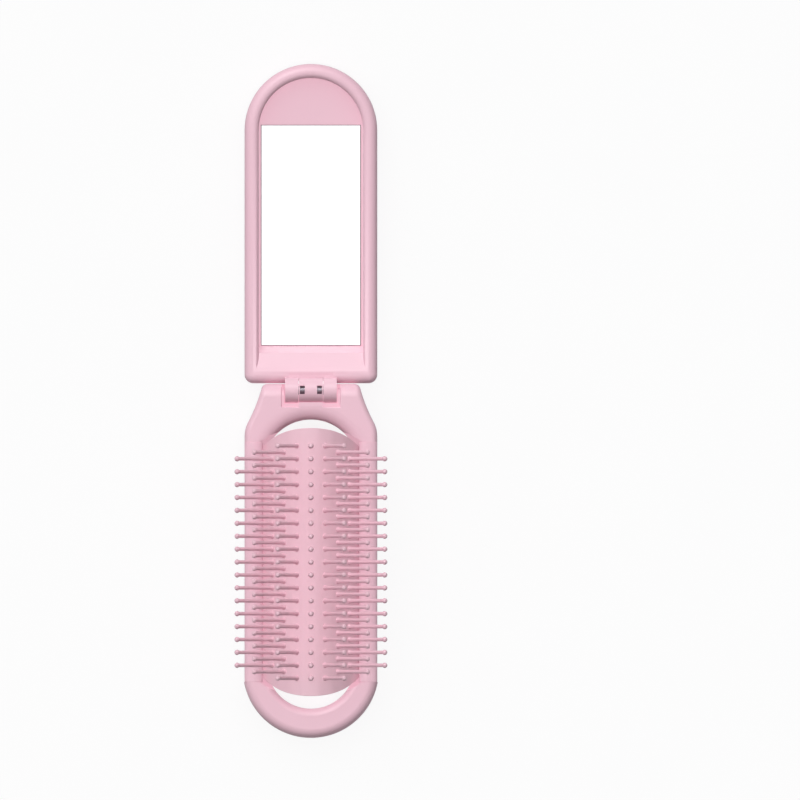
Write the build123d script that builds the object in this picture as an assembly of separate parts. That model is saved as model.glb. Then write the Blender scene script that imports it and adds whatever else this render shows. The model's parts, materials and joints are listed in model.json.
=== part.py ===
"""Folding hairbrush with a mirror in its cover and a snap-through bristle pad.

Millimetres. The brush lies open on its back: +Y runs from the hand loop to the cover's tip, +Z points to the
bristle and mirror side, X is the width. Shapes are drawn with the hinge axis at y = 0 and moved by hinge_y when
they are written, so that the origin is the middle of the footprint.
"""
from build123d import *
from math import cos, radians, sin, sqrt, tan
import os

# ---- overall sizes
half_width = 18.25          # cover and rails, from the middle plane
cover_reach = 89.75         # hinge axis to the cover's tip
frame_reach = 95.6          # hinge axis to the end of the hand loop
cover_thickness = 8.6
frame_thickness = 12.6
closed_gap = 0.1            # cover rim to frame front, closed
hinge_height = (cover_thickness + frame_thickness + closed_gap) / 2
hinge_y = (frame_reach - cover_reach) / 2

# ---- cover
cover_foot = 1.94           # hinge axis to the cover's foot
foot_corner = 2.4
back_edge_radius = 2.0
rim_outer_radius = 2.3
rim_inner_radius = 1.5
wall = 3.9                  # rim width at the sides and tip
floor_height = 2.95         # level of the floor round the mirror
pocket_floor = 1.5          # under the mirror and its tape
ramp_top = 5.3              # where the ramp leaves the rim, from the hinge axis
ramp_knee = 10.25
ramp_foot = 12.2
ramp_knee_drop = 1.6
relief_half = 6.1           # shallow relief in the rim behind the barrel
relief_top = 4.56
relief_depth = 0.12

# ---- mirror and tape
mirror_width = 27.5
mirror_length = 60.7
mirror_thickness = 1.1
mirror_clearance = 0.1
tape_thickness = 0.25
tape_margin = 0.8
mirror_foot = 12.2          # hinge axis to the mirror's lower edge

# ---- hinge
knuckle_radius = 3.38
centre_knuckle_half = 3.3
side_knuckle_gap = 0.12     # along the axis, between knuckles
barrel_half = 7.1
knuckle_clearance = 0.25    # round the centre knuckle
pin_radius = 1.2
pin_bite = 1.05             # how far the pin reaches into each side knuckle
pin_end_chamfer = 0.2
pin_running_clearance = 0.05
socket_end_gap = 0.2
pin_interference = 0.02     # pressed into the centre knuckle
window_width = 1.35
window_length = 2.45
window_offset = 2.37        # middle plane to a window's centre
window_middle = 0.2
tab_reach = 2.41            # the yoke's stop tab, in the notch of the cover's foot
tab_base = 2.6
notch_clearance = 0.2
neck_slope = 21.0           # where a side knuckle's neck leaves the barrel, degrees from the axes
neck_depth = 5.1
neck_run = 0.4              # past the cover's foot, where the neck's front meets the floor
neck_root = 1.6             # depth of the neck in the cover's ramp
saddle_drop = 0.6           # step behind the centre knuckle, below the axis
knuckle_slope = 38.0        # where the centre knuckle's foot leaves the barrel
foot_rise = 1.5             # height of that foot at the ears' tops
merge = 0.2                 # how far joined solids reach into each other

# ---- yoke
ear_top = 1.73
slot_half = barrel_half + 0.94
slot_bottom = -4.62
slot_clearance = 0.3        # round the side knuckles, below the ledge
ledge_drop = 1.2            # ledge round the barrel, below the yoke's front and ears
wall_bite = 0.1             # how far the yoke's front reaches into the centre knuckle
plate_height = 4.9          # back plate behind the barrel
ear_rounding = 3.7
seam_top = -14.22           # yoke to rails
shoulder_start = -12.6
shoulder_radius = 8.1
shoulder_turn = 28.0
waist_end_slope = 14.0
arch_top = -8.06            # top of the frame's opening
back_slope = 5.0
frame_front_radius = 1.7    # larger than the one on the back, which runs round the ears' corners after it
frame_back_radius = 1.4
opening_back_radius = 1.8
lead_in_width = 4.1         # elliptical rounding round the opening, front
lead_in_depth = 2.5

# ---- rails
rail_length = 66.0
rail_inner = 11.05
lip_edge = 13.25            # inner edge of the front lip over the pad
front_dome = 1.3            # crown of a rail's front
back_dome = 1.8
channel_floor = 2.1
lip_underside = 10.5
pad_clearance = 0.3
tongue_length = 3.0          # the rails plug into the yoke and the loop
tongue_edge = 14.0
tongue_width = 2.4
tongue_thickness = 0.8
tongue_gap = 0.1

# ---- hand loop
loop_proud = 0.45           # the loop's outer radius over the rails' half width
loop_radius = half_width + loop_proud
loop_front_radius = 2.6
loop_eye_bottom = -87.55
loop_eye_radius = 2.2

# ---- pad: flat strips of one moulding, folded at living hinges on the top skin
skin = 0.8
rib = 1.0
strip_pitch = 4.1
edge_catch = 0.3                    # popped, the pad's edge lies this far under the rails' lips
root_at = (strip_pitch / 2, strip_pitch / 2, 2.2)       # pin row from the strip's inner hinge
popped_angles = (22.6, 37.3, 46.7)
stored_angles = (-8.0, -14.0, -32.0)
popped_height = 18.6                # top skin of the centre strip
stored_height = 2.4
pad_end = 36.86                     # half length on the middle plane
pad_end_radius = 29.0
rib_ends = (34.1, 34.1, 32.1, 30.2)
rib_gap = 0.75
rib_draft = 0.1
edge_rib = 4.2                      # rib width limit on the edge strip
hinge_relief = 0.04

# ---- pins
pin_pitch = 3.55
pins_in_row = (19, 19, 18, 17)
pin_length = 13.3                   # root to the centre of the ball
flare_radius = 0.85
flare_height = 1.2
shaft_radius = 0.53
neck_radius = 0.5
neck_below = 0.55                   # shaft's end below the ball's centre
ball_radius = 0.77
ball_rise = 0.65                    # the ball's flat top above its centre
ball_top_radius = 0.35
pin_sink = 0.05                     # root inside the skin
pin_sides = 5

inner_reach = strip_pitch * (0.5 + sum(cos(radians(a)) for a in popped_angles[:2]))
edge_strip = (lip_edge + edge_catch - inner_reach) / cos(radians(popped_angles[2]))
pad_middle = seam_top - rail_length / 2
seam_bottom = seam_top - rail_length
tip_centre = cover_reach - half_width


def prism_x(points, half_a, half_b):
    """A solid with the (y, z) outline given, between two planes of constant x."""
    outline = make_face(Polyline(*[(0, y, z) for y, z in points], close=True))
    low, high = min(half_a, half_b), max(half_a, half_b)
    return Pos(low, 0, 0) * extrude(outline, amount=high - low, dir=(1, 0, 0))


def block(x, y, z):
    """A box between three pairs of limits."""
    size = [high - low for low, high in (x, y, z)]
    centre = [(high + low) / 2 for low, high in (x, y, z)]
    return Pos(*centre) * Box(*size)


def barrel(radius, x_low, x_high):
    """A cylinder on the hinge axis."""
    middle = (x_low + x_high) / 2
    return Pos(middle, 0, hinge_height) * Rot(0, 90, 0) * Cylinder(radius, x_high - x_low)


# ---------------------------------------------------------------- cover
def stadium(half, foot):
    """Outline with a round tip and a square foot, as the cover and its recess have."""
    return (Pos(0, (tip_centre + foot) / 2) * Rectangle(2 * half, tip_centre - foot)
            + Pos(0, tip_centre) * Circle(half))


def make_cover():
    body = extrude(stadium(half_width, cover_foot), amount=cover_thickness)
    feet = body.edges().filter_by(Axis.Z).group_by(Axis.Y)[0]
    body = fillet(feet, foot_corner)
    body = fillet(body.faces().sort_by(Axis.Z)[0].edges(), back_edge_radius)
    body = fillet(body.faces().sort_by(Axis.Z)[-1].edges(), rim_outer_radius)

    recess_half = half_width - wall
    depth = cover_thickness - floor_height
    recess = Pos(0, 0, floor_height) * extrude(stadium(recess_half, ramp_top), amount=depth)
    body = body - recess
    rim = body.faces().sort_by(Axis.Z)[-1].inner_wires()[0].edges()
    sides_and_tip = [e for e in rim if e.center().Y > ramp_top + 0.01]
    body = fillet(sides_and_tip, rim_inner_radius)

    knee = cover_thickness - ramp_knee_drop
    ramp = prism_x([(ramp_top - 1, pocket_floor), (ramp_top - 1, cover_thickness), (ramp_top, cover_thickness),
                    (ramp_knee, knee), (ramp_foot, floor_height), (ramp_foot, pocket_floor)],
                   -recess_half - rim_inner_radius, recess_half + rim_inner_radius)
    body = body + ramp

    pocket_half = mirror_width / 2 + mirror_clearance
    body = body - block((-pocket_half, pocket_half),
                        (mirror_foot, mirror_foot + mirror_length + 2 * mirror_clearance),
                        (pocket_floor, cover_thickness))

    inner = centre_knuckle_half + side_knuckle_gap
    across, along = knuckle_radius * sin(radians(neck_slope)), knuckle_radius * cos(radians(neck_slope))
    neck = [(-across, hinge_height - along), (cover_foot + neck_run, hinge_height - neck_depth),
            (cover_foot + neck_root, hinge_height - neck_depth), (cover_foot + neck_root, cover_thickness),
            (along, hinge_height - across), (0, hinge_height)]
    body = body - block((-relief_half, relief_half), (cover_foot - 1, relief_top),
                        (cover_thickness - relief_depth, hinge_height + knuckle_radius))
    for side in (-1, 1):
        low, high = sorted((side * inner, side * barrel_half))
        body = body + barrel(knuckle_radius, low, high) + prism_x(neck, low, high)

    body = body - barrel(knuckle_radius + knuckle_clearance, -inner, inner)
    body = body - block((-inner, inner), (cover_foot - 1, tab_reach + notch_clearance), (-1, hinge_height))
    socket = inner + pin_bite + socket_end_gap
    return body - barrel(pin_radius + pin_running_clearance, -socket, socket)


def make_mirror():
    low = mirror_foot + mirror_clearance
    base = pocket_floor + tape_thickness
    return block((-mirror_width / 2, mirror_width / 2), (low, low + mirror_length), (base, base + mirror_thickness))


def make_tape():
    low = mirror_foot + mirror_clearance + tape_margin
    half = mirror_width / 2 - tape_margin
    return block((-half, half), (low, low + mirror_length - 2 * tape_margin),
                 (pocket_floor, pocket_floor + tape_thickness))


def make_hinge_pin():
    reach = centre_knuckle_half + side_knuckle_gap + pin_bite
    pin = barrel(pin_radius, -reach, reach)
    return chamfer(pin.edges().filter_by(GeomType.CIRCLE), pin_end_chamfer)


# ---------------------------------------------------------------- pad kinematics
def strip_angles(t):
    """Slopes of the three outer strips, t from 0 (popped) to 1 (stored)."""
    return [a + (b - a) * t for a, b in zip(popped_angles, stored_angles)]


def strip_origins(t):
    """Inner hinge line (x, z) of strips 1, 2 and 3, then the pad's edge."""
    x, z = strip_pitch / 2, popped_height + (stored_height - popped_height) * t
    points = [(x, z)]
    for width, angle in zip((strip_pitch, strip_pitch, edge_strip), strip_angles(t)):
        x, z = x + width * cos(radians(angle)), z - width * sin(radians(angle))
        points.append((x, z))
    return points


def developed_outline(grow=0.0, half_across=None):
    """Plan of the pad laid flat: two end arcs and straight sides."""
    half = half_across or strip_pitch * 2.5 + edge_strip + grow
    end, radius = pad_end + grow, pad_end_radius + grow
    corner = end - radius + sqrt(radius ** 2 - half ** 2)
    edges = [Line((half, -corner), (half, corner)), ThreePointArc((half, corner), (0, end), (-half, corner)),
             Line((-half, corner), (-half, -corner)), ThreePointArc((-half, -corner), (0, -end), (half, -corner))]
    return make_face(Curve() + edges)


def folded_outline(t, grow):
    """Plan of the pad when it is folded to t: the same ends, drawn in across the strips."""
    xs = [x for x, _ in strip_origins(t)]
    flats = [strip_pitch * (0.5 + i) for i in range(3)] + [strip_pitch * 2.5 + edge_strip]
    right = []
    for x, flat in zip(xs, flats):
        right.append((x + grow, pad_end - pad_end_radius + sqrt(pad_end_radius ** 2 - flat ** 2) + grow))
    upper = Spline(*[(-x, y) for x, y in reversed(right)], (0, pad_end + grow), *right)
    lower = mirror(upper, about=Plane.XZ)
    sides = [Line(upper @ 0, lower @ 0), Line(upper @ 1, lower @ 1)]
    return make_face(Curve() + [upper, lower] + sides)


# ---------------------------------------------------------------- frame
def pad_pocket():
    """Room for the pad's corners as it snaps through the opening."""
    lower = extrude(developed_outline(pad_clearance), amount=lip_underside - channel_floor)
    pocket = Pos(0, pad_middle, channel_floor) * lower
    for t in (0.0, 0.12, 0.24):
        front = extrude(folded_outline(t, pad_clearance), amount=frame_thickness)
        pocket = pocket + Pos(0, pad_middle, lip_underside - 0.5) * front
    return pocket


def lead_in(chord_y, crest_y, side):
    """Ring that rounds the front edge of an arched opening, from the arch's own circle."""
    rise = abs(crest_y - chord_y)
    radius = (rail_inner ** 2 + rise ** 2) / (2 * rise)
    centre_y = crest_y - side * radius
    low = frame_thickness - lead_in_depth
    curve = EllipticalCenterArc((radius + lead_in_width, low), lead_in_width, lead_in_depth, 90, arc_size=90)
    corner = Polyline((radius + lead_in_width, frame_thickness), (radius + lead_in_width, frame_thickness + 1),
                      (radius - 1, frame_thickness + 1), (radius - 1, low), (radius, low))
    profile = Plane.XZ * make_face(Curve() + [curve, corner])
    return Pos(0, centre_y, 0) * revolve(profile, axis=Axis.Z)


def hinge_slot():
    """Room for the side knuckles, with a shallow ledge round it that follows the ears."""
    half, bottom = barrel_half + slot_clearance, -knuckle_radius - slot_clearance
    deep = block((-half, half), (bottom, ear_top + 1), (plate_height, frame_thickness + 1))
    ledge, over = frame_thickness - ledge_drop, frame_thickness + 1
    round_y, round_z, radius = ear_top - ear_rounding, frame_thickness - ear_rounding, ear_rounding - ledge_drop
    turns = [radians(90 - 15 * i) for i in range(7)]
    arc = [(round_y + radius * cos(a), round_z + radius * sin(a)) for a in turns]
    shallow = prism_x([(slot_bottom, ledge)] + arc + [(ear_top - ledge_drop, plate_height), (ear_top + 1, plate_height),
                      (ear_top + 1, over), (slot_bottom, over)], -slot_half, slot_half)
    return deep + shallow


def rail_tongues(side, grow):
    """The tongues at the rail's ends, one from each lip, or with grow the slots for them."""
    across = sorted((side * (tongue_edge - grow), side * (tongue_edge + tongue_width + grow)))
    along = (seam_bottom - tongue_length - grow, seam_top + tongue_length + grow)
    low, high = channel_floor * 0.6, (lip_underside + frame_thickness - 0.2) / 2
    half = tongue_thickness / 2 + grow
    return (block(across, along, (low - half, low + half)) + block(across, along, (high - half, high + half)))


def make_yoke():
    start = Line((half_width, seam_top), (half_width, shoulder_start))
    shoulder = JernArc((half_width, shoulder_start), (0, 1), shoulder_radius, shoulder_turn)
    rise = ear_top - (shoulder @ 1).Y
    waist_radius = rise / (sin(radians(shoulder_turn)) - sin(radians(waist_end_slope)))
    waist = JernArc(shoulder @ 1, shoulder % 1, waist_radius, waist_end_slope - shoulder_turn)
    right = [start, shoulder, waist]
    left = [mirror(edge, about=Plane.YZ) for edge in right]
    top = Line(waist @ 1, (-(waist @ 1).X, ear_top))
    arch = ThreePointArc((rail_inner, seam_top), (0, arch_top), (-rail_inner, seam_top))
    feet = [Line((side * half_width, seam_top), (side * rail_inner, seam_top)) for side in (-1, 1)]
    body = extrude(make_face(Curve() + right + left + [top, arch] + feet), amount=frame_thickness)

    run = ear_top - seam_top
    body = body - prism_x([(seam_top, -1), (seam_top, 0), (ear_top + 1, (run + 1) * tan(radians(back_slope))),
                           (ear_top + 1, -1)], -half_width - 1, half_width + 1)
    ears = body.edges().filter_by(Axis.X).group_by(Axis.Y)[-1]
    body = fillet(ears.sort_by(Axis.Z)[-1], ear_rounding)
    front_flanks = [e for e in body.faces().sort_by(Axis.Z)[-1].edges() if abs(e.center().X) > 1
                    and e.center().Y > seam_top + 0.01]
    body = fillet(front_flanks, frame_front_radius)
    back = body.faces().sort_by(Axis.Z)[0].edges()
    back_rim = [e for e in back if abs(e.center().X) > 1 or e.center().Y > ear_top - 0.5]
    body = fillet([e for e in back_rim if e.center().Y > seam_top + 0.01], frame_back_radius)
    arch_back = [e for e in body.edges() if abs(e.center().X) < 1 and abs(e.center().Y - arch_top) < 1
                 and e.center().Z < frame_thickness / 2 and e.length > 2 * rail_inner]
    body = fillet(arch_back, opening_back_radius)
    front_wall = block((-centre_knuckle_half, centre_knuckle_half), (slot_bottom - 1, wall_bite - knuckle_radius),
                       (plate_height, frame_thickness))
    body = body - hinge_slot() + front_wall
    body = body - lead_in(seam_top, arch_top, 1)

    low, high = plate_height - merge, hinge_height
    leave_y, leave_z = (knuckle_radius * f(radians(knuckle_slope)) for f in (sin, cos))
    foot = prism_x([(slot_bottom - merge, low), (slot_bottom - merge, high - saddle_drop), (0, high - saddle_drop),
                    (0, high), (leave_y, high - leave_z), (ear_top, low + foot_rise), (ear_top, low)],
                   -centre_knuckle_half, centre_knuckle_half)
    tab = block((-centre_knuckle_half, centre_knuckle_half), (ear_top - 1, tab_reach), (tab_base, plate_height))
    body = body + barrel(knuckle_radius, -centre_knuckle_half, centre_knuckle_half) + foot + tab
    bore = centre_knuckle_half + 1
    body = body - barrel(pin_radius - pin_interference, -bore, bore)
    for side in (-1, 1):
        middle = side * window_offset
        body = body - block((middle - window_width / 2, middle + window_width / 2),
                            (window_middle - window_length / 2, window_middle + window_length / 2),
                            (hinge_height, frame_thickness + 5))
        body = body - rail_tongues(side, tongue_gap)
    return body - pad_pocket()


def make_end_loop():
    end = -frame_reach
    centre = end + loop_radius
    top_half = sqrt(loop_radius ** 2 - (centre - seam_bottom) ** 2)
    outer = ThreePointArc((top_half, seam_bottom), (0, end), (-top_half, seam_bottom))
    inner = ThreePointArc((rail_inner, seam_bottom), (0, loop_eye_bottom), (-rail_inner, seam_bottom))
    feet = [Line((side * top_half, seam_bottom), (side * rail_inner, seam_bottom)) for side in (-1, 1)]
    body = extrude(make_face(Curve() + [outer, inner] + feet), amount=frame_thickness)
    arcs = body.edges().filter_by(GeomType.CIRCLE)
    outside = [e for e in arcs if abs(e.center().Y - end) < loop_radius / 4]
    body = fillet(outside, loop_front_radius)
    arcs = body.edges().filter_by(GeomType.CIRCLE)
    eye = [e for e in arcs if e.arc_center.Z in (0, frame_thickness) and abs(e.center().Y - loop_eye_bottom) < 1]
    body = fillet(eye, loop_eye_radius)
    for side in (-1, 1):
        body = body - rail_tongues(side, tongue_gap)
    return body - pad_pocket()


def make_rail(side):
    """A channel that holds the pad's edge and steers it outwards and back as the pad snaps through."""
    front_middle, front_half = (half_width + lip_edge) / 2, (half_width - lip_edge) / 2
    back_middle, back_half = (half_width + rail_inner) / 2, (half_width - rail_inner) / 2
    low, high = back_dome, frame_thickness - front_dome
    section = make_face(Curve() + [EllipticalCenterArc((front_middle, high), front_half, front_dome, 0, arc_size=180),
                                   EllipticalCenterArc((back_middle, low), back_half, back_dome, 180, arc_size=180),
                                   Line((half_width, low), (half_width, high)),
                                   Polyline((lip_edge, high), (lip_edge, low + 3), (rail_inner, low + 3),
                                            (rail_inner, low))])

    edge_path = [strip_origins(t)[-1] for t in (0.0, 0.5)]
    widest = max(strip_origins(i / 20)[-1][0] for i in range(21)) + pad_clearance
    (x0, z0), (x1, z1) = edge_path
    slope = (z1 - z0) / (x1 - x0)
    off = 1.6 * pad_clearance * sqrt(1 + slope ** 2)
    cam_start = x0 + (lip_underside - z0 - off) / slope
    cam_end = z0 + slope * (widest - x0) + off
    channel = make_face(Polyline((rail_inner - 1, channel_floor), (widest, channel_floor), (widest, cam_end),
                                 (cam_start, lip_underside), (rail_inner - 1, lip_underside), close=True))
    section = section - channel
    rail = Pos(0, seam_top, 0) * extrude(Plane.XZ * section, amount=rail_length, dir=(0, -1, 0))
    rail = rail + rail_tongues(1, 0)
    return rail if side > 0 else mirror(rail, about=Plane.YZ)


# ---------------------------------------------------------------- pad
def bristle():
    """A faceted pin with a flared root and a ball tip, root on z = 0."""
    levels = [(-pin_sink, flare_radius), (flare_height, shaft_radius), (pin_length - neck_below, neck_radius),
              (pin_length, ball_radius), (pin_length + ball_rise, ball_top_radius)]
    turns = [radians(360 / pin_sides * i) for i in range(pin_sides)]
    rings = [[(radius * cos(a), radius * sin(a), z) for a in turns] for z, radius in levels]
    faces = [Face(Wire.make_polygon([low[i - 1], low[i], high[i], high[i - 1]]))
             for low, high in zip(rings, rings[1:]) for i in range(pin_sides)]
    ends = [Face(Wire.make_polygon(ring)) for ring in (rings[0], rings[-1])]
    return Solid(Shell(faces + ends))


def make_strip(index):
    """Strip 0 is the centre one. Others are drawn flat from their inner hinge, with the inner side at x = 0."""
    bends = [0.0] + list(popped_angles)
    inner_turn = (bends[index] - bends[index - 1]) if index else bends[1]
    outer_turn = (bends[index + 1] - bends[index]) if index < 3 else 0.0
    width = edge_strip if index == 3 else strip_pitch
    depth = skin + rib

    def inset(turn, at_depth):
        return hinge_relief + at_depth * tan(radians(turn / 2))

    left, right = inset(inner_turn, 0), width - inset(outer_turn, 0)
    low_left, low_right = inset(inner_turn, skin), width - inset(outer_turn, skin)
    section = make_face(Polyline((left, 0), (right, 0), (low_right, -skin), (low_left, -skin), close=True))
    body = extrude(Plane.XZ * section, amount=pad_end, both=True)
    start = -strip_pitch / 2 if index == 0 else -strip_pitch * (index - 0.5)
    body = body & (Pos(start if index else strip_pitch / 2, 0, -5) * extrude(developed_outline(), amount=10))

    rib_low = inset(inner_turn, depth) + rib_gap / 2
    rib_high = min(width - inset(outer_turn, depth) - rib_gap / 2, edge_rib)
    rib_face = make_face(Polyline((rib_low, -depth), (rib_high, -depth), (rib_high + rib_draft, -skin + rib_draft),
                                  (rib_low - rib_draft, -skin + rib_draft), close=True))
    body = body + extrude(Plane.XZ * rib_face, amount=rib_ends[index], both=True)

    count = pins_in_row[index]
    root = root_at[index - 1] if index else strip_pitch / 2
    places = [(i - (count - 1) / 2) * pin_pitch for i in range(count)]
    pin = bristle()
    return body.fuse(*[Pos(root, y, 0) * pin for y in places])


def place_strip(index, side):
    strip = make_strip(index)
    if index == 0:
        return Pos(-strip_pitch / 2, pad_middle, popped_height) * strip
    x, z = strip_origins(0)[index - 1]
    placed = Pos(x, pad_middle, z) * Rot(0, popped_angles[index - 1], 0) * strip
    return placed if side > 0 else mirror(placed, about=Plane.YZ)


# ---------------------------------------------------------------- output
def build():
    parts = {
        "cover_shell": make_cover(),
        "mirror": make_mirror(),
        "mirror_tape": make_tape(),
        "hinge_pin": make_hinge_pin(),
        "yoke": make_yoke(),
        "rail_left": make_rail(-1),
        "rail_right": make_rail(1),
        "end_loop": make_end_loop(),
        "pad_strip_centre": place_strip(0, 1),
    }
    for index in (1, 2, 3):
        parts[f"pad_strip_left_{index}"] = place_strip(index, -1)
        parts[f"pad_strip_right_{index}"] = place_strip(index, 1)
    return parts


os.makedirs("parts", exist_ok=True)
for name, shape in build().items():
    export_step(Pos(0, hinge_y, 0) * shape, f"parts/{name}.step")
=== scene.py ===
# %% [markdown]
# # A folding pocket hairbrush with a mirror
# The brush is two halves on one hinge. The cover holds a mirror in a recess. The frame is a yoke, two rails
# and a hand loop, and between the rails sits a springy pad whose pins stand up in an arch. Pushing the arch
# back hides the pins, and the cover folds over them.
#
# The pieces that carry the motion come from the CAD frame. This lesson gives them their skin: smooth shells,
# a pad that bends at its living hinges, 127 round pins, a glass mirror, a printed back, and the light to see
# them by. Lengths are written in millimetres, and `* mm` turns them into Blender's metres.

# %% Load the frame and keep its box
import json
from math import atan2, cos, hypot, pi, radians, sin, sqrt

import bmesh
import bpy
from mathutils import Matrix, Vector


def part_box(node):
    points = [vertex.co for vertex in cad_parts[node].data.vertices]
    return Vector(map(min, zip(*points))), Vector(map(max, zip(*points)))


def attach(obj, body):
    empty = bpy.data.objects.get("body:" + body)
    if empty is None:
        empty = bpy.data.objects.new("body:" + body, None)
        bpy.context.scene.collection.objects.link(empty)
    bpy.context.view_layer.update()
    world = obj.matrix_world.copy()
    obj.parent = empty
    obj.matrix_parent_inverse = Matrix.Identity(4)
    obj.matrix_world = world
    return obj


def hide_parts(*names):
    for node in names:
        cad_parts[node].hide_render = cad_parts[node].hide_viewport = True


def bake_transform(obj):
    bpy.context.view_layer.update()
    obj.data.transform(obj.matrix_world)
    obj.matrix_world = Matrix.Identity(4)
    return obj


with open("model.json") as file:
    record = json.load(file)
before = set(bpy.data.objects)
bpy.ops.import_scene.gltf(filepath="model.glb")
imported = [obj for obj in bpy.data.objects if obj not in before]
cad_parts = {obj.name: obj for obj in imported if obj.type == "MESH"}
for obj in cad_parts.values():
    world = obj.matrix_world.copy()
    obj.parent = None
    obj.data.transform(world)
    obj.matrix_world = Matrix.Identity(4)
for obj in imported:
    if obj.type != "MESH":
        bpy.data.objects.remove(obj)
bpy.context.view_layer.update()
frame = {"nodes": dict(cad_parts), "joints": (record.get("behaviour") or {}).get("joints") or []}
mm = 0.001
joints = {joint["name"]: joint for joint in frame["joints"]}
hinge = Vector(joints["cover_fold"]["pos_m"])

# %% [markdown]
# ## The camera
# Product pictures of flat things are taken from straight above with no perspective, so that both ends show
# the same size. A long lens far away comes close to that, and an orthographic camera does it exactly: its
# scale is the width of the picture in metres. The brush stands a little left of the middle of the frame, as
# the first of two would.

# %% Set the camera
picture_width = 220 * mm
brush_left_of_middle = 24.5 * mm
middle_below_hinge = 2.67 * mm
camera_height = 600 * mm

camera = bpy.data.objects.new("camera", bpy.data.cameras.new("camera"))
bpy.context.scene.collection.objects.link(camera)
camera.data.type = "ORTHO"
camera.data.ortho_scale = picture_width
camera.data.clip_end = 5
camera.location = (brush_left_of_middle, hinge.y - middle_below_hinge, camera_height)
bpy.context.scene.camera = camera
print("camera over x, y =", [round(v / mm, 2) for v in camera.location[:2]], "mm")

# %% [markdown]
# ## Shader sums written as Python
# A material is a tree of nodes. Each node could be added and linked by hand, but a script of such lines is
# hard to read. So a small class wraps one output socket, and the ordinary signs add the Math nodes:
# `1 - mask` and `a * b + c` mean what they say.

# %% A number that varies
class Value:
    """A number that varies over a surface. A sign beside it adds a Math node."""
    def __init__(self, nodes, socket):
        self.nodes, self.socket = nodes, socket

    def __add__(self, other):
        return self.nodes.math("ADD", self, other)

    def __sub__(self, other):
        return self.nodes.math("SUBTRACT", self, other)

    def __rsub__(self, other):
        return self.nodes.math("SUBTRACT", other, self)

    def __mul__(self, other):
        return self.nodes.math("MULTIPLY", self, other)

    def __truediv__(self, other):
        return self.nodes.math("DIVIDE", self, other)

    def __pow__(self, other):
        return self.nodes.math("POWER", self, other)

    __radd__, __rmul__ = __add__, __mul__

    def least(self, other):
        return self.nodes.math("MINIMUM", self, other)

    def most(self, other):
        return self.nodes.math("MAXIMUM", self, other)

    def cosine(self):
        return self.nodes.math("COSINE", self)

    def fraction(self):
        return self.nodes.math("FRACT", self)

    def between(self, low, high):
        """Spreads a number from 0 to 1 between two others."""
        return self * (high - low) + low

    def below(self, edge, blur):
        """1 where the number is under edge, 0 over it, with a short blur between."""
        return self.nodes.math("ADD", (edge - self) / blur, 0.5, clamp=True)


print("signs that add a Math node: + - * / **")

# %% [markdown]
# ## One method for every node
# `Nodes` adds any kind of node in one call, which sets it up and feeds its sockets. The ready-made ones below
# are those that this brush needs more than once. `Finish` is a new material with the same methods, and `srgb`
# turns a colour as a screen shows it into the linear one that shaders use.

# %% Trees, finishes and colours
class Nodes:
    """A node tree and a way to add to it."""
    def __init__(self, tree):
        self.tree = tree

    def node(self, kind, settings=None, *values, output=0, **named):
        """Adds a node, sets it up, feeds its sockets by order or by name, and returns one of its outputs."""
        node = self.tree.nodes.new(kind)
        for key, value in (settings or {}).items():
            setattr(node, key, value)
        feeds = list(enumerate(values)) + [(key.replace("_", " "), value) for key, value in named.items()]
        for key, value in feeds:
            if isinstance(value, Value):
                self.tree.links.new(value.socket, node.inputs[key])
            else:
                node.inputs[key].default_value = value
        return Value(self, node.outputs[output])

    def math(self, operation, *values, clamp=False):
        """Adds a Math node on these numbers."""
        return self.node("ShaderNodeMath", {"operation": operation, "use_clamp": clamp}, *values)

    def also(self, value, output):
        """Another output of the node that a value comes from."""
        return Value(self, value.socket.node.outputs[output])

    def place(self, output="Object"):
        """Coordinates as three numbers."""
        split = self.node("ShaderNodeSeparateXYZ", None, self.node("ShaderNodeTexCoord", output=output))
        return [self.also(split, axis) for axis in "XYZ"]

    def noise(self, size, detail=2.0):
        """Cloudy noise from 0 to 1 whose lumps are about this many millimetres."""
        point = self.node("ShaderNodeTexCoord", output="Object")
        return self.node("ShaderNodeTexNoise", None, Vector=point, Scale=1 / (size * mm), Detail=detail)

    def mix(self, under, mask, over):
        """Lays one colour over another where the mask is 1."""
        node = self.tree.nodes.new("ShaderNodeMix")
        node.data_type = "RGBA"
        for name, value in (("Factor_Float", mask), ("A_Color", under), ("B_Color", over)):
            socket = next(s for s in node.inputs if s.identifier == name)
            if isinstance(value, Value):
                self.tree.links.new(value.socket, socket)
            else:
                socket.default_value = value
        return Value(self, next(s for s in node.outputs if s.identifier == "Result_Color"))


class Finish(Nodes):
    """A material and its Principled shader, whose constant sockets are set by name."""
    def __init__(self, name, **constants):
        self.material = bpy.data.materials.new(name)
        self.material.use_nodes = True
        super().__init__(self.material.node_tree)
        self.shader = self.tree.nodes["Principled BSDF"]
        for socket, value in constants.items():
            self.shader.inputs[socket.replace("_", " ")].default_value = value

    def feed(self, **links):
        """Links values to the shader's own sockets."""
        for socket, value in links.items():
            self.tree.links.new(value.socket, self.shader.inputs[socket.replace("_", " ")])
        return self.material


def srgb(red, green, blue):
    """A colour written as 0 to 255 screen values, as the linear colour that shaders use."""
    linear = [c / 255 / 12.92 if c / 255 <= 0.04045 else ((c / 255 + 0.055) / 1.055) ** 2.4
              for c in (red, green, blue)]
    return (*linear, 1.0)


print("white as a linear colour:", srgb(255, 255, 255))

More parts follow.
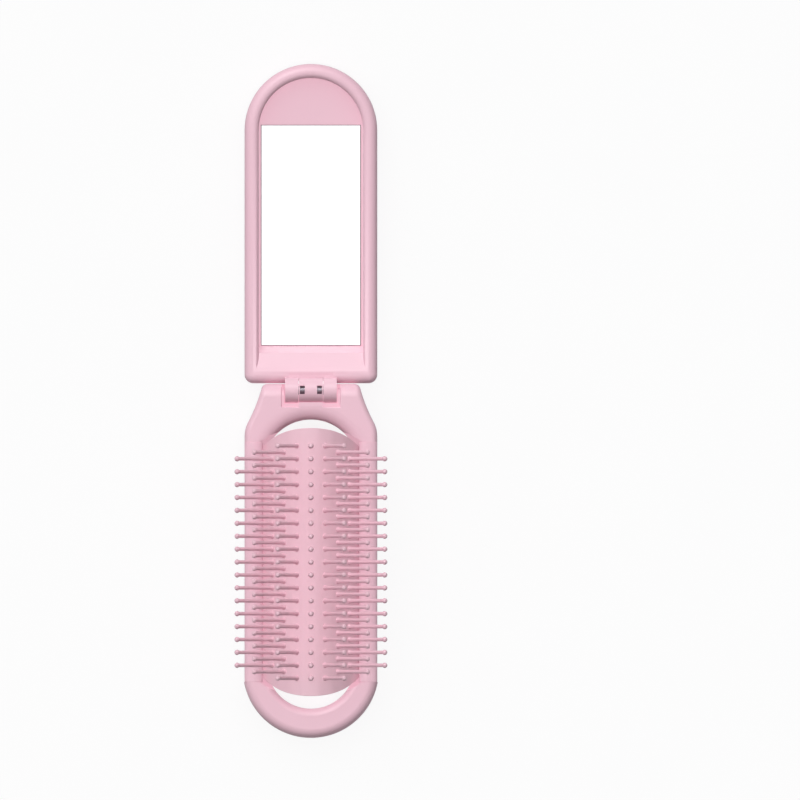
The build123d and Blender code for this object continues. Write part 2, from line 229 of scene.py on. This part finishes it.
# %% [markdown]
# ## Soft studio light
# The main lamp stands high at the upper left, which gives the forms their bright and dark sides. It and a
# weak lamp overhead cast no shadow, as the lamps of a ring fill each other's shadows, so that 127 pins don't
# darken what lies behind them. A weak, softer lamp beside the main one leaves a faint shadow. The room's own
# light comes more from above than from the sides, as under a ceiling panel. A level surface gets about as
# much light in all as its colour is written for.
#
# The camera sees a plain white room. A reflection sees it white overhead and greyer to the sides, so that the
# gloss on a round edge fades as the edge turns away. Light that reaches the plastic by way of the mirror
# counts as the room's own, which is weaker, so no glare lies beside the mirror.

# %% World and lamps
light_above, light_aside = 0.39, 0.20
gloss_above, gloss_aside = 1.0, 0.40
upper_left, overhead = Vector((-0.24, 0.60, 0.76)).normalized(), Vector((0, 0, 1))
lamps = (                   # name, direction, light that it adds on a level surface, softness, casts a shadow
    ("main_lamp", upper_left, 0.56, radians(20), False),
    ("top_lamp", overhead, 0.04, radians(30), False),
    ("soft_lamp", upper_left, 0.05, radians(60), True),
)

scene = bpy.context.scene
scene.view_settings.view_transform = "Standard"
scene.world = bpy.data.worlds.new("white_room")
scene.world.use_nodes = True
room = Nodes(scene.world.node_tree)
camera_ray = room.node("ShaderNodeLightPath", output="Is Camera Ray")
diffuse_bounces = room.also(camera_ray, "Diffuse Depth").least(1)
glossy_ray = room.also(camera_ray, "Is Glossy Ray") * (1 - diffuse_bounces)
height = room.place("Generated")[2].most(0)
given = height.between(light_aside, light_above)
mirrored = height.between(gloss_aside, gloss_above)
strength = camera_ray.most(given * (1 - glossy_ray) + mirrored * glossy_ray)
background = room.tree.nodes["Background"]
background.inputs["Color"].default_value = (1, 1, 1, 1)
room.tree.links.new(strength.socket, background.inputs["Strength"])

for name, direction, share, softness, casts_shadow in lamps:
    lamp = bpy.data.objects.new(name, bpy.data.lights.new(name, "SUN"))
    scene.collection.objects.link(lamp)
    lamp.rotation_mode = "QUATERNION"
    lamp.rotation_quaternion = direction.to_track_quat("Z", "Y")
    lamp.data.energy = pi * share / direction.z
    lamp.data.angle = softness
    lamp.data.use_shadow = casts_shadow
    print(name, round(lamp.data.energy, 2), "W/m2, casts a shadow:", casts_shadow)

# %% [markdown]
# ## Pink moulded plastic
# The shells and the pad are moulded in one soft pink. It is written a touch greyer for the pad, whose pins
# light each other and bring the pink back. The colour hardly varies, with only slow flow marks from the
# mould. The mould was lightly blasted, so that the skin has a fine grain that spreads each highlight. Two
# sizes of noise make that grain: an orange peel about a millimetre wide, and a texture much finer than the
# eye picks out. A flat colour with an even gloss would do from far off, but it looks like a drawing near by.

# %% The plastic
pink, pink_deeper = srgb(233, 193, 206), srgb(230, 189, 203)
pad_pink, pad_pink_deeper = srgb(229, 190, 202), srgb(226, 187, 199)
flow_marks, gloss_patches, orange_peel, grain = 16, 3.0, 1.1, 0.16      # sizes of the noise's lumps
gloss_spread = 0.06
shell_roughness, pad_roughness = 0.46, 0.44


def plastic(name, roughness, peel=0.5, colours=(pink, pink_deeper)):
    """Returns the finish and its colour, roughness and bump, which a print may still change."""
    finish = Finish(name, IOR=1.46)
    colour = finish.mix(colours[0], finish.noise(flow_marks), colours[1])
    gloss = finish.noise(gloss_patches) * gloss_spread + (roughness - gloss_spread / 2)
    relief = finish.noise(orange_peel) * peel + finish.noise(grain, detail=1.0) * (1 - peel)
    bump = finish.node("ShaderNodeBump", None, Strength=0.25, Distance=0.012 * mm, Height=relief)
    return finish, colour, gloss, bump


finish, colour, gloss, bump = plastic("pink_shell", shell_roughness)
pink_shell = finish.feed(Base_Color=colour, Roughness=gloss, Normal=bump)
finish, colour, gloss, bump = plastic("pink_pad", pad_roughness, peel=0.3,
                                      colours=(pad_pink, pad_pink_deeper))
pink_pad = finish.feed(Base_Color=colour, Roughness=gloss, Normal=bump)
print("plastic materials:", pink_shell.name, pink_pad.name)

# %% [markdown]
# ## The motifs of the print
# The cover's back is pad-printed with flowers and dots, in ink with hard edges. An image could carry them,
# but it is only as sharp as its pixels and needs a file beside the script. So each motif is worked out in
# the material, from the place on the cover in millimetres. A flower is a distance from its middle, compared
# with a rim that swells five times on the way round. A leaf is where two circles overlap.

# %% Motifs
ink_edge = 0.05             # blur at an ink edge
petal_count, petal_depth, petal_fullness = 5, 0.52, 0.3
leaf_width = 0.42           # of its length
magenta, hot_pink, red = srgb(200, 30, 85), srgb(226, 25, 130), srgb(218, 40, 28)
green, light_pink, white = srgb(46, 160, 67), srgb(246, 150, 196), srgb(250, 250, 250)


def distance(place, middle):
    across, along = place[0] - middle[0], place[1] - middle[1]
    return (across * across + along * along) ** 0.5


def disc(place, middle, radius):
    return distance(place, middle).below(radius, ink_edge)


def blossom(place, middle, radius, turn):
    """Five round petals: the rim's distance from the middle follows the angle."""
    across, along = place[0] - middle[0], place[1] - middle[1]
    angle = across.nodes.math("ARCTAN2", along, across)
    lobe = (angle * (petal_count / 2) + turn).cosine()
    rim = (lobe * lobe) ** petal_fullness * (petal_depth * radius) + (1 - petal_depth) * radius
    return (distance(place, middle) - rim).below(0, ink_edge)


def leaf(place, root, length, direction):
    """The lens where two equal circles overlap, pointing away from its root."""
    along = Vector((cos(direction), sin(direction)))
    aside = Vector((-along.y, along.x))
    width = leaf_width * length
    radius = (length ** 2 + width ** 2) / (4 * width)
    middle = Vector(root) + along * length / 2
    offset = aside * (radius - width / 2)
    return disc(place, middle + offset, radius) * disc(place, middle - offset, radius)


def dots(place, pitch, radius):
    """Dots on a lattice that stands on its corner."""
    across, along = (place[0] + place[1]) / (sqrt(2) * pitch), (place[0] - place[1]) / (sqrt(2) * pitch)
    cell = [(v.fraction() - 0.5) * pitch for v in (across, along)]
    return disc(cell, (0, 0), radius)


print("a leaf is", leaf_width, "times as wide as it is long")

# %% [markdown]
# ## The print on the cover's back
# Five flowers wander down the back over white dots. Each has two leaves at its stem, a pale copy behind it
# and a round heart. The ink goes on in that order, and each layer covers the last. It stays on the flat back
# and the start of its rounded edge, and it is a little glossier than the plastic.

# %% Lay the print out
flowers = (                 # middle, radius, turn, petals, heart
    ((-5.2, 79.0), 6.6, 0.3, magenta, white),
    ((6.4, 63.5), 8.2, 1.1, red, light_pink),
    ((-5.6, 45.5), 8.8, 0.0, hot_pink, white),
    ((6.8, 27.5), 7.4, 0.7, magenta, light_pink),
    ((-7.0, 14.5), 5.0, 1.4, red, white),
)
stem_on_right, stem_on_left = radians(200), radians(-20)    # stems point to the middle of the cover
leaf_turns = (-0.5, 0.5)    # two leaves to a flower, from the direction of its stem
leaf_start, leaf_length, heart_size = 0.7, 1.05, 0.27       # in radii of the flower
shadow_shift = Vector((-0.9, -0.9))
dot_pitch, dot_radius = 6.2, 0.62
back_height, back_fade = 0.55, 0.1      # the print stops where the back's edge turns up
ink_gloss = 0.08

finish, colour, gloss, bump = plastic("pink_printed_shell", shell_roughness)
x, y, z = [v / mm for v in finish.place()]
place = (x, y)
on_back = z.below(back_height, back_fade)
inked = dots(place, dot_pitch, dot_radius)
colour = finish.mix(colour, inked * on_back, white)
for middle, radius, turn, petals, heart in flowers:
    middle = Vector(middle)
    stem = stem_on_right if middle.x > 0 else stem_on_left
    shapes = []
    for direction in (stem + t for t in leaf_turns):
        leaf_root = middle + Vector((cos(direction), sin(direction))) * radius * leaf_start
        shapes.append((leaf(place, leaf_root, radius * leaf_length, direction), green))
    shapes.append((blossom(place, middle + shadow_shift, radius, turn), light_pink))
    shapes.append((blossom(place, middle, radius, turn), petals))
    shapes.append((disc(place, middle, radius * heart_size), heart))
    for mask, ink in shapes:
        colour = finish.mix(colour, mask * on_back, ink)
        inked = inked.most(mask)
gloss = gloss - inked * on_back * ink_gloss
printed_shell = finish.feed(Base_Color=colour, Roughness=gloss, Normal=bump)
print("print:", len(flowers), "flowers in", len(finish.tree.nodes), "nodes")

# %% [markdown]
# ## Mirror, steel and foam
# The mirror is glass with silver behind it. It could be built as both, but a polished metal shows the same
# picture with far less work for the renderer. Its ground edge is grey glass, kept dark and pinkish so that it
# also paints the thin line of shade round the mirror. The hinge pin is drawn steel with fine lines along it:
# noise that is stretched in one direction. The steel is darker and mauver than bare steel, which paints the
# shade inside the barrel's windows. The mirror is held by foam tape.

# %% The other finishes
silver = Finish("mirror_silver", Metallic=1.0)
cloud = silver.noise(22)
mirror_silver = silver.feed(Base_Color=silver.mix(srgb(253, 254, 254), cloud, srgb(251, 253, 253)),
                            Roughness=cloud.between(0.012, 0.022))

glass = Finish("glass_edge_with_painted_shade", IOR=1.52)
# painted shade: the edge's grey is darker and pinker than ground glass, to draw the dark line of shade round
# the mirror
glass_edge_with_painted_shade = glass.feed(Base_Color=glass.mix(srgb(150, 142, 146), glass.noise(0.8), srgb(172, 164, 168)),
                        Roughness=glass.noise(0.3).between(0.25, 0.45))

steel = Finish("steel_with_painted_shade", Metallic=1.0)
lengthwise = steel.node("ShaderNodeMapping", None, steel.node("ShaderNodeTexCoord", output="Object"),
                        Scale=(0.04, 1, 1))
scratches = steel.node("ShaderNodeTexNoise", None, Vector=lengthwise, Scale=1 / (0.12 * mm), Detail=1.0)
# painted shade: darker and mauver than bare steel, standing for the shade inside the barrel's windows
steel_with_painted_shade = steel.feed(Base_Color=steel.mix(srgb(112, 108, 114), scratches, srgb(140, 136, 142)),
                         Roughness=scratches.between(0.30, 0.45))

foam = Finish("foam_tape", Roughness=0.9)
cells = foam.node("ShaderNodeTexVoronoi", None, foam.node("ShaderNodeTexCoord", output="Object"),
                  Scale=1 / (0.35 * mm))
dents = foam.node("ShaderNodeBump", None, Strength=0.4, Distance=0.05 * mm, Height=cells)
foam_tape = foam.feed(Base_Color=foam.mix(srgb(228, 228, 222), cells, srgb(206, 206, 198)), Normal=dents)
print("finishes:", [m.name for m in (mirror_silver, glass_edge_with_painted_shade, steel_with_painted_shade, foam_tape)])

# %% [markdown]
# ## From a mesh to a piece
# Every piece ends the same way. Its faces are shaded smooth, its real edges stay sharp, and a weighted-normal
# modifier lets the large faces lead, so that a flat stays flat up to the round that it runs into. Then it
# takes its materials, rides on its body if it has one, and hides the CAD node that it stands in for.

# %% Finish a piece
sharp_angle = radians(34)


def make_piece(mesh_work, name, materials, body=None, stands_for=(), creases=()):
    """Turns a bmesh into a piece. Edges that turn sharply, or are listed as creases, split the shading."""
    for edge in mesh_work.edges:
        edge.smooth = edge.is_manifold and edge.calc_face_angle() < sharp_angle
    for edge in creases:
        edge.smooth = False
    for face in mesh_work.faces:
        face.smooth = True
    mesh = bpy.data.meshes.new(name)
    mesh_work.to_mesh(mesh)
    mesh_work.free()
    for material in materials:
        mesh.materials.append(material)
    made = bpy.data.objects.new(name, mesh)
    scene.collection.objects.link(made)
    shading = made.modifiers.new("even_shading", "WEIGHTED_NORMAL")
    shading.keep_sharp = True
    if body:
        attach(made, body)
    if stands_for:
        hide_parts(*stands_for)
    print(f"{name}: {len(mesh.polygons)} faces")
    return made


# %% [markdown]
# ## Smooth shells
# The cover, the yoke, the rails and the loop already have their true shape in the frame, so nothing is
# modelled again. But a CAD mesh is loose triangles with flat shading. A copy is welded, its flat areas are
# made single faces again, and an edge can be broken with a small bevel.

# %% Weld a copy and break an edge
weld = 0.002 * mm
flatness = radians(0.3)
corner_angle = radians(60)      # an edge that turns more than this is an outer corner


def welded_copy(node):
    shell = bmesh.new()
    shell.from_mesh(frame["nodes"][node].data)
    bmesh.ops.remove_doubles(shell, verts=shell.verts, dist=weld)
    bmesh.ops.dissolve_limit(shell, angle_limit=flatness, verts=shell.verts, edges=shell.edges)
    return shell


def ease(shell, offset, segments, chosen):
    """Breaks the sharp outer edges whose ends all satisfy a test."""
    edges = [e for e in shell.edges if e.is_manifold and e.is_convex and e.calc_face_angle() > corner_angle
             and all(chosen(v.co) for v in e.verts)]
    bmesh.ops.bevel(shell, geom=edges, offset=offset, offset_type="OFFSET", affect="EDGES", segments=segments,
                    profile=0.5, material=-1)
    print("eased edges:", len(edges))


print("vertices closer than", round(weld / mm, 3), "mm are one")

# %% [markdown]
# ## The cover
# The cover's rim turns down to the mirror at an angle too slight to count as sharp, so that crease is named.
# Behind the barrel the rim has a shallow relief, which is a soft dip on the real cover and a step in the CAD.
# The step is drawn out into a slope by moving its upper vertices towards the mirror and its lower ones
# towards the barrel. A bevel would do it too, but it can be no wider than the step is high.

# %% Dress the cover
ramp_line = hinge.y + 5.3 * mm          # where the rim's top turns down to the mirror
relief_line, relief_floor = hinge.y + 4.56 * mm, 8.48 * mm
relief_above, relief_below = 0.35 * mm, 0.45 * mm      # how far the relief's step is drawn out into a slope

cover = welded_copy("cover_shell")
ramp_crease = [e for e in cover.edges if all(abs(v.co.y - ramp_line) < weld for v in e.verts)]
for vertex in cover.verts:
    if abs(vertex.co.y - relief_line) < weld and vertex.co.z > relief_floor - weld:
        vertex.co.y += relief_above if vertex.co.z > relief_floor + weld else -relief_below
make_piece(cover, "cover_moulding", [printed_shell], "cover", ["cover_shell"], ramp_crease)

# %% [markdown]
# ## The frame
# Where a rail meets the yoke and the loop, its end edge is eased a little, because two mouldings that butt
# show a fine line. The yoke's edge round the barrel's slot is rounded too, which draws the slot with a bright
# line below and a dark one at each side.

# %% Dress the yoke, the loop and the rails
seam_ease, slot_ease = 0.08 * mm, 0.3 * mm
slot_half, slot_bottom, ledge_height = 8.04 * mm, hinge.y - 4.62 * mm, 11.4 * mm
yoke_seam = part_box("yoke")[0].y
loop_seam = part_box("end_loop")[1].y


def on_slot_rim(spot):
    """True on the walls of the slot's ledge, above the ledge."""
    at_side = abs(abs(spot.x) - slot_half) < weld and spot.y > slot_bottom - weld
    at_bottom = abs(spot.y - slot_bottom) < weld and abs(spot.x) < slot_half + weld
    return (at_side or at_bottom) and spot.z > ledge_height + 10 * weld


def at_seam(spot):
    """True in the planes where the rails end."""
    return min(abs(spot.y - yoke_seam), abs(spot.y - loop_seam)) < weld


yoke = welded_copy("yoke")
ease(yoke, slot_ease, 3, on_slot_rim)
make_piece(yoke, "yoke_moulding", [pink_shell], "frame", ["yoke"])
make_piece(welded_copy("end_loop"), "hand_loop", [pink_shell], "frame", ["end_loop"])
for side in ("left", "right"):
    rail = welded_copy(f"rail_{side}")
    ease(rail, seam_ease, 1, at_seam)
    make_piece(rail, f"{side}_rail", [pink_shell], "frame", [f"rail_{side}"])

# %% [markdown]
# ## The mirror
# A cut plate of glass: a cube stretched to the plate's box, with its front edges ground to a narrow slope.
# The front is silver and everything round it is glass edge, whose dark grey also paints shade, so the plate
# has two materials. The tape under it and the steel pin keep their CAD meshes and only get a finish.

# %% Grind the mirror
ground_edge = 0.25 * mm
facing_front = 0.99
low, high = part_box("mirror")
plate = bmesh.new()
bmesh.ops.create_cube(plate, size=1)
stretched = Matrix.Translation((low + high) / 2) @ Matrix.Diagonal((high - low).to_4d())
bmesh.ops.transform(plate, matrix=stretched, verts=plate.verts)
front = [e for e in plate.edges if all(abs(v.co.z - high.z) < weld for v in e.verts)]
bmesh.ops.bevel(plate, geom=front, offset=ground_edge, offset_type="OFFSET", affect="EDGES", segments=1,
                profile=0.5, material=-1)
for face in plate.faces:
    face.material_index = 0 if face.normal.z > facing_front else 1
make_piece(plate, "mirror_glass", [mirror_silver, glass_edge_with_painted_shade], "cover", ["mirror"])

for node, material in (("mirror_tape", foam_tape), ("hinge_pin", steel_with_painted_shade)):
    frame["nodes"][node].data.materials.clear()
    frame["nodes"][node].data.materials.append(material)
print("mirror, mm:", [round(v / mm, 2) for v in high - low])

# %% [markdown]
# ## The pad's arch
# The pad is one springy moulding: seven flat strips side by side, joined by thin living hinges. Popped out,
# the strips lean more and more towards the rails. The joints of the frame lie on the hinge lines, so their
# places give the strips' widths and slopes, and only the outermost strip's are written down. Between two
# flats the skin runs round in a short curve, which has the hinge line as the corner that it cuts.

# %% Where the strips lie
edge_slope, edge_width = radians(46.7), 6.4935      # of the outermost strip, which ends in the rail
skin = 0.8                  # its thickness
half_curve = 1.25           # the curve reaches this far to each side of a hinge line
pad_end, pad_end_radius = 36.86, 29.0
hinge_lines = [Vector(joints[f"pad_flex_right_{i}"]["pos_m"]) / mm for i in (1, 2, 3)]
pad_middle = hinge_lines[0].y
lines = [(0.0, hinge_lines[0].z)] + [(p.x, p.z) for p in hinge_lines]
slopes = [atan2(a[1] - b[1], b[0] - a[0]) for a, b in zip(lines, lines[1:])] + [edge_slope]
widths = [hypot(b[0] - a[0], b[1] - a[1]) for a, b in zip(lines, lines[1:])] + [edge_width]
starts = [sum(widths[:i]) for i in range(5)]
print("slopes, degrees:", [round(s * 180 / pi, 1) for s in slopes], "widths:", [round(w, 3) for w in widths])


def on_strip(index, along):
    """The point at a distance along a strip's flat, in the X and Z plane."""
    (x0, z0), slope = lines[index], slopes[index]
    return Vector((x0 + along * cos(slope), z0 - along * sin(slope)))


def on_arch(reach):
    """The skin's point at a distance from the middle, measured on the flat pad."""
    index = max(i for i in range(4) if reach >= starts[i] - 1e-9)
    for line in (1, 2, 3):
        offset = reach - starts[line]
        if abs(offset) < half_curve:
            share = (offset + half_curve) / (2 * half_curve)
            inner = on_strip(line - 1, widths[line - 1] - half_curve)
            corner, outer = on_strip(line, 0), on_strip(line, half_curve)
            return inner.lerp(corner, share).lerp(corner.lerp(outer, share), share)
    return on_strip(index, reach - starts[index])


# %% [markdown]
# ## The pad's skin
# The skin is one sheet with round ends. It could be swept along the brush as a profile, but then its ends
# would need a cut of their own. Instead a grid gets a column of vertices at each place where the arch needs
# one. It is bent over the arch, and each column is made as long as the round ends allow. Then the sheet is
# given its thickness, and its rim is eased.

# %% Bend the skin
curve_steps = 8
skin_edge = 0.18 * mm
half_strip = 2.05           # from a strip's inner hinge line to its middle
last_column = 2.2           # the last column inside the pad's side edge stands this far from it
columns = [0.0]
for line in (1, 2, 3):
    columns += [starts[line] + half_curve * (2 * i / curve_steps - 1) for i in range(curve_steps + 1)]
    columns.append(starts[line] + half_strip)
columns += [starts[4] - last_column, starts[4]]
columns = [-c for c in reversed(columns[1:])] + columns


def end_reach(reach):
    """How far the pad runs to each end, at a distance from its middle line."""
    return pad_end - pad_end_radius + sqrt(pad_end_radius ** 2 - reach ** 2)


skin_work = bmesh.new()
bmesh.ops.create_grid(skin_work, x_segments=len(columns) - 1, y_segments=2, size=1)
for vertex in skin_work.verts:
    reach = columns[round((vertex.co.x + 1) / 2 * (len(columns) - 1))]
    point = on_arch(abs(reach))
    along = vertex.co.y * end_reach(abs(reach))
    vertex.co = Vector((point.x if reach >= 0 else -point.x, pad_middle + along, point.y)) * mm
bmesh.ops.recalc_face_normals(skin_work, faces=skin_work.faces)
if skin_work.faces[0].normal.z < 0:
    bmesh.ops.reverse_faces(skin_work, faces=skin_work.faces)
bmesh.ops.solidify(skin_work, geom=skin_work.faces[:], thickness=skin * mm)
rim = [e for e in skin_work.edges if e.is_manifold and e.calc_face_angle() > corner_angle]
bmesh.ops.bevel(skin_work, geom=rim, offset=skin_edge, offset_type="OFFSET", affect="EDGES", segments=2,
                profile=0.5, material=-1)
bmesh.ops.recalc_face_normals(skin_work, faces=skin_work.faces)
print("skin top at", round(max(v.co.z for v in skin_work.verts) / mm, 3), "mm")

# %% [markdown]
# ## Slices of the skin
# The skin has to stay whole while the pad snaps through. Seven stiff pieces would gape at the living hinges,
# so the cuts go down the middle of each strip, where nothing bends. Each inner slice spans the curve of one
# living hinge and stays where it is made, in the popped arch, tied to neither strip. The outermost slice on
# each side joins nothing more, so it rides on its strip.

# %% Slice it down the strips' middles
strip_middles = (0.0, half_strip, half_strip, half_strip)


def cut(work, index, side, keep_outside):
    """Cuts across the skin in the plane that stands on a strip's middle line."""
    point, slope = on_strip(index, strip_middles[index]), slopes[index]
    normal = Vector((cos(slope) * side, 0, -sin(slope)))
    sliced = bmesh.ops.bisect_plane(work, geom=work.verts[:] + work.edges[:] + work.faces[:], dist=weld,
                                    plane_co=Vector((point.x * side, 0, point.y)) * mm, plane_no=normal,
                                    clear_inner=keep_outside, clear_outer=not keep_outside)
    edges = [g for g in sliced["geom_cut"] if isinstance(g, bmesh.types.BMEdge)]
    bmesh.ops.edgenet_fill(work, edges=edges)


for side, name in ((-1, "left"), (1, "right")):
    chain = ["pad_centre"] + [f"pad_{name}_{i}" for i in (1, 2, 3)]
    for index, body in enumerate(chain):
        slice_work = skin_work.copy()
        cut(slice_work, index, side, True)
        last = index == 3
        if not last:
            cut(slice_work, index + 1, side, False)
        bmesh.ops.recalc_face_normals(slice_work, faces=slice_work.faces)
        made = make_piece(slice_work, f"pad_skin_{name}_{index + 1}", [pink_pad],
                          body if last else None)
        if not last:
            hinge_line = starts[index + 1]
            inner, outer = on_arch(hinge_line - half_curve), on_arch(hinge_line + half_curve)
            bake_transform(made)
skin_work.free()

# %% [markdown]
# ## One pin
# A pin has a flared root, a slim shaft and a ball tip that is kind to the scalp. Its profile is spun round
# its axis. It is made once and set down 127 times, so it has only as many faces as its size in the picture
# needs.

# %% Spin one pin
pin_length, flare_radius, shaft_radius, neck_radius, ball_radius = 13.3, 0.85, 0.53, 0.5, 0.77
pin_sides, ball_bands = 8, 4
root = [(-0.12, flare_radius), (0.3, 0.68), (1.2, shaft_radius)]    # heights and radii, from inside the skin
neck_angle = -radians(50)
ball_turns = [neck_angle + (pi / 2 - neck_angle) * i / ball_bands for i in range(ball_bands + 1)]
ball = [(pin_length + ball_radius * sin(a), ball_radius * cos(a)) for a in ball_turns]

pin_work = bmesh.new()
profile = [pin_work.verts.new((radius * mm, 0, height * mm)) for height, radius in root + ball]
strokes = [pin_work.edges.new(pair) for pair in zip(profile, profile[1:])]
bmesh.ops.spin(pin_work, geom=profile + strokes, cent=(0, 0, 0), axis=(0, 0, 1), dvec=(0, 0, 0), angle=2 * pi,
               steps=pin_sides, use_merge=True, use_duplicate=False)
bmesh.ops.remove_doubles(pin_work, verts=pin_work.verts, dist=weld)
bmesh.ops.holes_fill(pin_work, edges=[e for e in pin_work.edges if e.is_boundary], sides=pin_sides)
bmesh.ops.recalc_face_normals(pin_work, faces=pin_work.faces)
pin_mesh = bpy.data.meshes.new("one_pin")
pin_work.to_mesh(pin_mesh)
pin_work.free()
print("one pin:", len(pin_mesh.polygons), "faces")

# %% [markdown]
# ## Bars and pins
# Under each strip a bar stiffens it, with a groove between one bar and the next, and a row of pins stands on
# it. Each pin could be placed by its own tilt, but it is simpler to draw a strip flat and lean it over as a
# whole, so that its pins stand square to its slope.

# %% Set the bars and pins on the strips
pin_pitch = 3.55
pins_in_row = (19, 19, 18, 17)
root_at = (0.0, half_strip, half_strip, 2.2)        # from the strip's inner hinge line, or from the middle
bar_sides = ((-1.12, 1.12), (0.83, 3.37), (0.9, 3.62), (0.95, 4.2))     # from there too
bar_ends = (34.1, 34.1, 32.1, 30.2)
bar_depth, bar_sink = 1.0, 0.06     # below the skin, and into it
bar_edge = 0.22 * mm


def strip_place(index, side):
    """Turns a strip drawn flat, with its inner hinge line on the Y axis, into its popped place."""
    x0, z0 = lines[index]
    place = Matrix.Translation(Vector((x0, pad_middle, z0)) * mm) @ Matrix.Rotation(slopes[index], 4, "Y")
    return Matrix.Diagonal((side, 1, 1, 1)) @ place


def make_strip(index, side, name):
    """A bar with its row of pins, on one side of the pad."""
    strip = bmesh.new()
    low = Vector((bar_sides[index][0], -bar_ends[index], -skin - bar_depth)) * mm
    high = Vector((bar_sides[index][1], bar_ends[index], -skin + bar_sink)) * mm
    bmesh.ops.create_cube(strip, size=1)
    stretched = Matrix.Translation((low + high) / 2) @ Matrix.Diagonal((high - low).to_4d())
    bmesh.ops.transform(strip, matrix=stretched, verts=strip.verts)
    under = [e for e in strip.edges if min(v.co.z for v in e.verts) < low.z + weld]
    bmesh.ops.bevel(strip, geom=under, offset=bar_edge, offset_type="OFFSET", affect="EDGES", segments=2,
                    profile=0.5, material=-1)
    count = pins_in_row[index]
    for row in range(count):
        spot = Matrix.Translation(Vector((root_at[index], (row - (count - 1) / 2) * pin_pitch, 0)) * mm)
        pin_mesh.transform(spot)
        strip.from_mesh(pin_mesh)
        pin_mesh.transform(spot.inverted())
    bmesh.ops.transform(strip, matrix=strip_place(index, side), verts=strip.verts)
    if side < 0:
        bmesh.ops.reverse_faces(strip, faces=strip.faces)
    make_piece(strip, f"pins_{name}", [pink_pad], f"pad_{name}", [f"pad_strip_{name}"])


make_strip(0, 1, "centre")
for index in (1, 2, 3):
    make_strip(index, -1, f"left_{index}")
    make_strip(index, 1, f"right_{index}")
bpy.data.meshes.remove(pin_mesh)

# %% [markdown]
# ## The floor
# A plain pale sheet catches the brush's soft shadow. More light would make it white, but the brush would
# glare. So to the camera and in reflections the sheet glows, which lifts it to the white of the room and
# leaves the shadow light. Other rays see greyer paper without a glow, so little light comes back up and the
# brush's undersides stay dark.

# %% Lay the floor
floor_half_width = 1.5      # metres
glow = 0.72                 # how much of the floor the camera sees as plain white
paper_white, paper_cloud, paper_grey = srgb(250, 250, 250), srgb(246, 246, 247), srgb(118, 118, 120)

floor_work = bmesh.new()
bmesh.ops.create_grid(floor_work, x_segments=1, y_segments=1, size=floor_half_width)
floor_mesh = bpy.data.meshes.new("floor")
floor_work.to_mesh(floor_mesh)
floor_work.free()
floor = bpy.data.objects.new("floor", floor_mesh)
scene.collection.objects.link(floor)

paper = Finish("floor_paper", Roughness=0.9, Specular_IOR_Level=0.0)
camera_ray = paper.node("ShaderNodeLightPath", output="Is Camera Ray")
shown = camera_ray.most(paper.also(camera_ray, "Is Glossy Ray"))
paper.feed(Base_Color=paper.mix(paper_grey, shown, paper.mix(paper_white, paper.noise(40), paper_cloud)))
white_glow = paper.node("ShaderNodeEmission", None, Strength=1.0)
lifted = paper.node("ShaderNodeMixShader", None, shown * glow, Value(paper, paper.shader.outputs[0]),
                    white_glow)
paper.tree.links.new(lifted.socket, paper.tree.nodes["Material Output"].inputs["Surface"])
floor_mesh.materials.append(paper.material)
print("the floor is", round(floor.dimensions.x, 1), "m wide")
